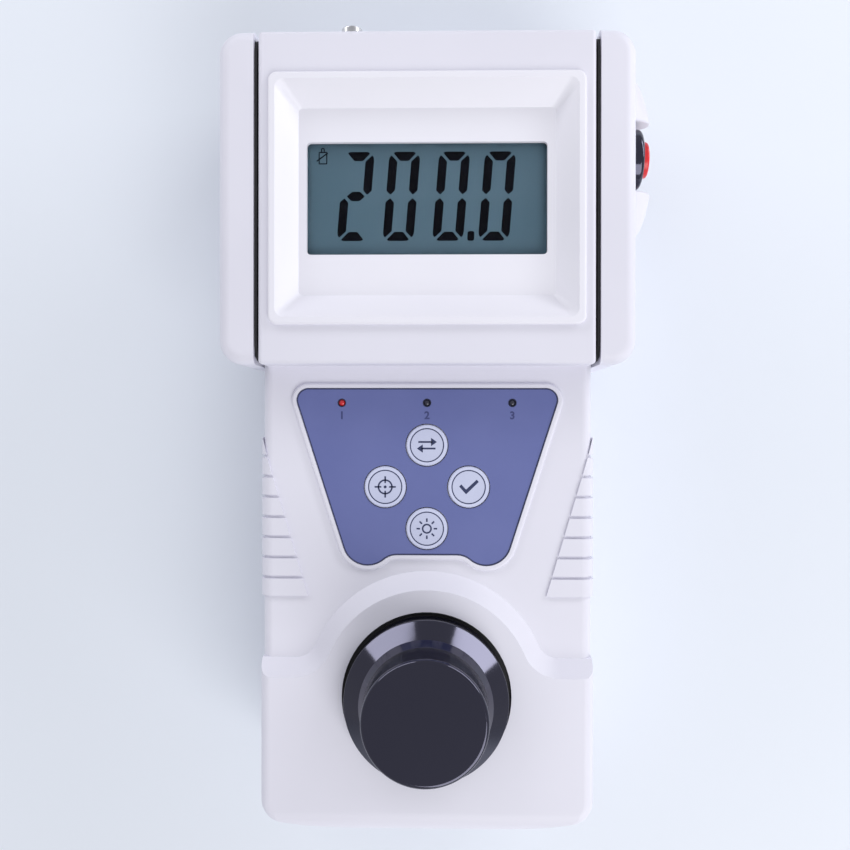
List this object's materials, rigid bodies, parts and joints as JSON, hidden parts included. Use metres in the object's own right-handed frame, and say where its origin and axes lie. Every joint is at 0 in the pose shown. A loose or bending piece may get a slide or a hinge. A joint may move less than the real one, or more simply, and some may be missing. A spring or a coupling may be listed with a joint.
{
  "type": "turbidity meter",
  "caption": "Hand-held turbidity meter with a recessed display head, shield-shaped keypad, capped sample well and sliding battery door.",
  "frame": {"origin": "on the bench plane under the middle of the housing, with the meter lying on its feet", "axes": "+Z out of the display face, +Y towards the display head, +X towards the power switch"},
  "size_m": [0.127, 0.233, 0.0791],
  "materials": {
    "housing_plastic": "fine satin moulded texture",
    "bezel_plastic": "smooth satin",
    "window_clear": "clear polished sheet",
    "lcd_green_grey": "matt polarising film on glass",
    "black_moulding": "black, fine texture",
    "contact_rubber": "layered elastic strip",
    "light_guide": "milky light guide",
    "board_green": "solder resist",
    "component_black": "moulded packages",
    "overlay_blue": "printed polyester film, fine grain",
    "key_grey": "printed film dome",
    "led_epoxy": "tinted epoxy",
    "lamp_clear": "clear epoxy and glass",
    "detector_case": "black detector case",
    "seal_rubber": "nitrile ring and feet",
    "cap_black": "polished black",
    "switch_black": "polished black",
    "button_red": "glossy red",
    "socket_metal": "nickel plated",
    "screw_steel": "zinc plated",
    "cell_jacket": "plain shrink sleeve",
    "wire_grey": "flat cable and wire insulation"
  },
  "bodies": {
    "housing": {"front_shell": "housing_plastic", "rear_shell": "housing_plastic", "side_cover_left": "housing_plastic", "side_cover_right": "housing_plastic", "display_bezel": "bezel_plastic", "display_window": "window_clear", "lcd_glass": "lcd_green_grey", "lcd_carrier": "black_moulding", "cell_holder": "black_moulding", "well_collar": "black_moulding", "power_switch_nut": "black_moulding", "lcd_contact_strips": "contact_rubber", "backlight_panel": "light_guide", "display_board": "board_green", "keypad_board": "board_green", "main_board": "board_green", "board_components": "component_black", "tact_switches": "component_black", "keypad_overlay": "overlay_blue", "indicator_leds": "led_epoxy", "lamp": "lamp_clear", "lamp_lens": "lamp_clear", "transmission_detector": "detector_case", "scatter_detector": "detector_case", "well_seal": "seal_rubber", "rubber_feet": "seal_rubber", "power_switch_body": "switch_black", "charger_socket": "socket_metal", "charger_socket_nut": "socket_metal", "battery_contacts": "socket_metal", "case_screws": "screw_steel", "cover_screws": "screw_steel", "board_screws": "screw_steel", "cell_holder_screws": "screw_steel", "battery_cells": "cell_jacket", "keypad_ribbon": "wire_grey", "display_ribbon": "wire_grey", "lamp_lead": "wire_grey", "transmission_lead": "wire_grey", "scatter_lead": "wire_grey", "battery_lead": "wire_grey", "charger_lead": "wire_grey", "switch_lead": "wire_grey"},
    "power_button": {"power_button": "button_red"},
    "key_top": {"key_top": "key_grey"},
    "key_left": {"key_left": "key_grey"},
    "key_right": {"key_right": "key_grey"},
    "key_bottom": {"key_bottom": "key_grey"},
    "sample_cap": {"sample_cap": "cap_black"},
    "battery_door": {"battery_door": "housing_plastic"}
  },
  "joints": [
    {"name": "power_press", "type": "slide", "parent": "housing", "child": "power_button", "axis": [-1, 0, 0], "range_m": [0, 0.002], "stiffness_N_per_m": 500, "springref_m": -0.001},
    {"name": "key_top_press", "type": "slide", "parent": "housing", "child": "key_top", "axis": [0, 0, -1], "range_m": [0, 0.00035], "stiffness_N_per_m": 800, "springref_m": -0.0005},
    {"name": "key_left_press", "type": "slide", "parent": "housing", "child": "key_left", "axis": [0, 0, -1], "range_m": [0, 0.00035], "stiffness_N_per_m": 800, "springref_m": -0.0005},
    {"name": "key_right_press", "type": "slide", "parent": "housing", "child": "key_right", "axis": [0, 0, -1], "range_m": [0, 0.00035], "stiffness_N_per_m": 800, "springref_m": -0.0005},
    {"name": "key_bottom_press", "type": "slide", "parent": "housing", "child": "key_bottom", "axis": [0, 0, -1], "range_m": [0, 0.00035], "stiffness_N_per_m": 800, "springref_m": -0.0005},
    {"name": "cap_lift", "type": "slide", "parent": "housing", "child": "sample_cap", "axis": [0, 0, 1], "range_m": [0, 0.1]},
    {"name": "door_slide", "type": "slide", "parent": "housing", "child": "battery_door", "axis": [0, 1, 0], "range_m": [0, 0.075]}
  ]
}
